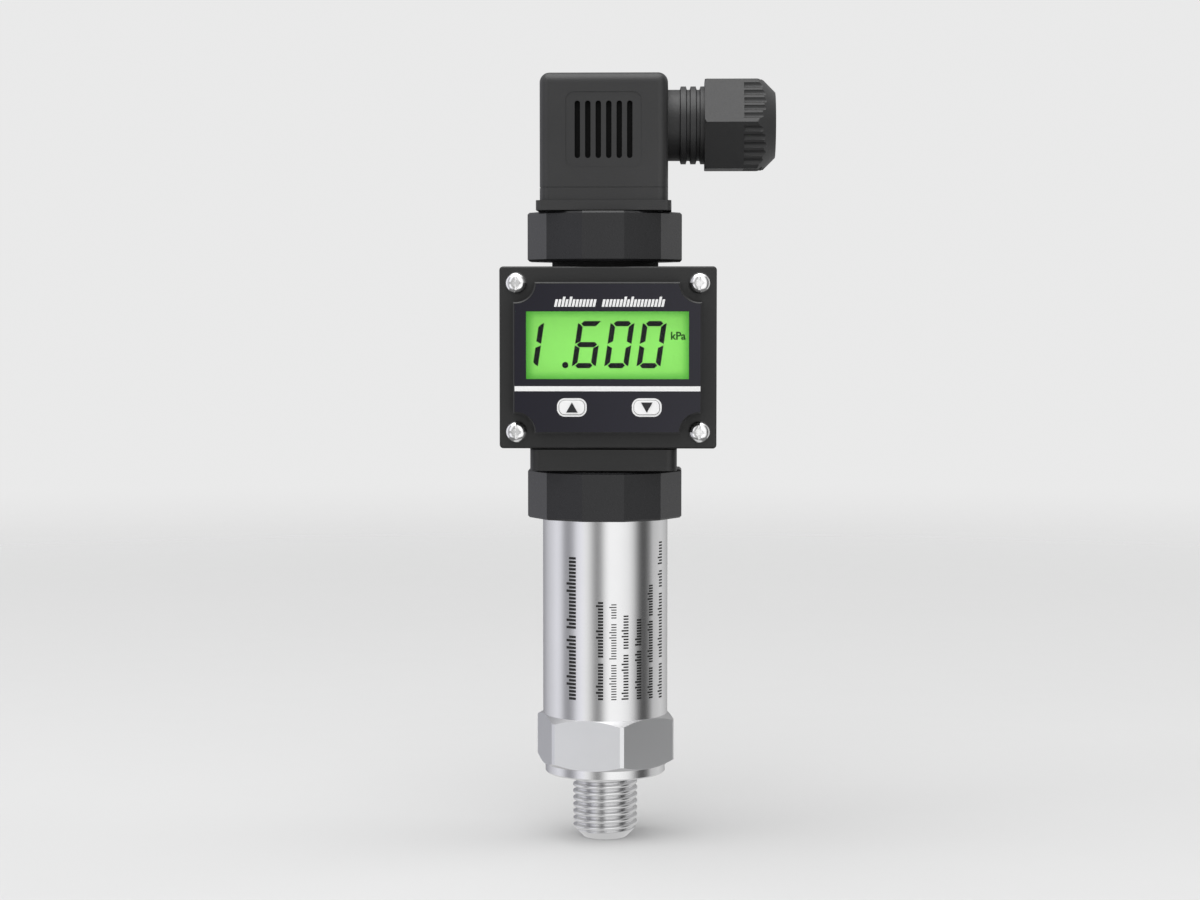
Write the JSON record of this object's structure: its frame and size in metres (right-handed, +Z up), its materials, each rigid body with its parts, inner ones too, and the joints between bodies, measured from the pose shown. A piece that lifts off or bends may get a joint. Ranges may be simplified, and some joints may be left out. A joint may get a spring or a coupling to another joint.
{
  "type": "pressure transmitter",
  "caption": "Upright pressure transmitter: threaded steel body, plug-in display head with keys, and a right-angle cable plug with a gland.",
  "frame": {"origin": "centre of the collar's underside, on the thread's axis, where the sealing washer sits", "axes": "+Z up the sensor body towards the plug, -Y out of the display, +X along the cable gland"},
  "size_m": [0.0582, 0.0391, 0.1644],
  "materials": {
    "stainless": "fine turned and polished",
    "capsule_steel": "machined",
    "seal_rubber": "matt",
    "board_green": "solder mask",
    "chip_black": "moulded",
    "gold_pins": "gold plated",
    "brass_parts": "turned",
    "contact_metal": "tin plated",
    "spacer_plastic": "moulded",
    "screw_steel": "zinc plated",
    "cover_screw_chrome": "bright",
    "lead_red": "insulated wire",
    "base_black": "satin moulded",
    "insert_black": "moulded",
    "box_black": "fine grain",
    "film_black": "printed film, satin",
    "print_white": "print",
    "window_clear": "clear acrylic",
    "lcd_glass": "polished",
    "lcd_ink": "liquid crystal",
    "backlight_green": "lit light guide",
    "button_white": "satin",
    "arrow_ink": "print",
    "plug_black": "fine grain moulded",
    "washer_nylon": "moulded"
  },
  "bodies": {
    "transmitter": {"pressure_port": "stainless", "body_tube": "stainless", "sensor_capsule": "capsule_steel", "capsule_diaphragm": "capsule_steel", "capsule_retainer": "capsule_steel", "capsule_o_ring": "seal_rubber", "lower_o_ring": "seal_rubber", "lower_gasket": "seal_rubber", "upper_gasket": "seal_rubber", "cover_gasket": "seal_rubber", "neck_seal": "seal_rubber", "screw_washer": "seal_rubber", "sensor_board": "board_green", "amplifier_board": "board_green", "display_board": "board_green", "amplifier_parts": "chip_black", "key_switches": "chip_black", "capsule_pins": "gold_pins", "link_pins": "gold_pins", "board_pillars": "brass_parts", "terminal_blocks": "brass_parts", "lower_blades": "contact_metal", "upper_blades": "contact_metal", "socket_contacts": "contact_metal", "plug_contacts": "contact_metal", "board_spacer": "spacer_plastic", "board_screws": "screw_steel", "display_screws": "screw_steel", "head_screw": "screw_steel", "plug_screw": "screw_steel", "terminal_screws": "screw_steel", "cover_screws": "cover_screw_chrome", "signal_leads": "lead_red", "head_leads": "lead_red", "display_leads": "lead_red", "lower_base": "base_black", "upper_base": "base_black", "lock_nut": "base_black", "lower_insert": "insert_black", "upper_insert": "insert_black", "socket_insert": "insert_black", "plug_insert": "insert_black", "head_box": "box_black", "head_cover": "box_black", "face_film": "film_black", "film_stripe": "print_white", "button_rings": "print_white", "window_lens": "window_clear", "lcd_front_glass": "lcd_glass", "lcd_rear_glass": "lcd_glass", "lcd_segments": "lcd_ink", "backlight": "backlight_green", "plug_housing": "plug_black"},
    "up_button": {"up_button": "button_white", "up_arrow": "arrow_ink"},
    "down_button": {"down_button": "button_white", "down_arrow": "arrow_ink"},
    "gland_seal": {"gland_grommet": "seal_rubber", "thrust_washer": "washer_nylon"},
    "gland_nut": {"gland_nut": "plug_black"}
  },
  "joints": [
    {"name": "up_button_press", "type": "slide", "parent": "transmitter", "child": "up_button", "axis": [0, 1, 0], "range_m": [0, 0.0004], "stiffness_N_per_m": 1000},
    {"name": "down_button_press", "type": "slide", "parent": "transmitter", "child": "down_button", "axis": [0, 1, 0], "range_m": [0, 0.0004], "stiffness_N_per_m": 1000},
    {"name": "gland_seal_slide", "type": "slide", "parent": "transmitter", "child": "gland_seal", "axis": [-1, 0, 0], "range_m": [0, 0.00315]},
    {"name": "gland_nut_turn", "type": "hinge", "parent": "gland_seal", "child": "gland_nut", "pos_m": [0.0289, 0, 0.1398], "axis": [-1, 0, 0], "range_deg": [0, 540]}
  ],
  "couplings": [
    {"joint": "gland_seal_slide", "follows": "gland_nut_turn", "m_per_rad": 0.0003342}
  ]
}
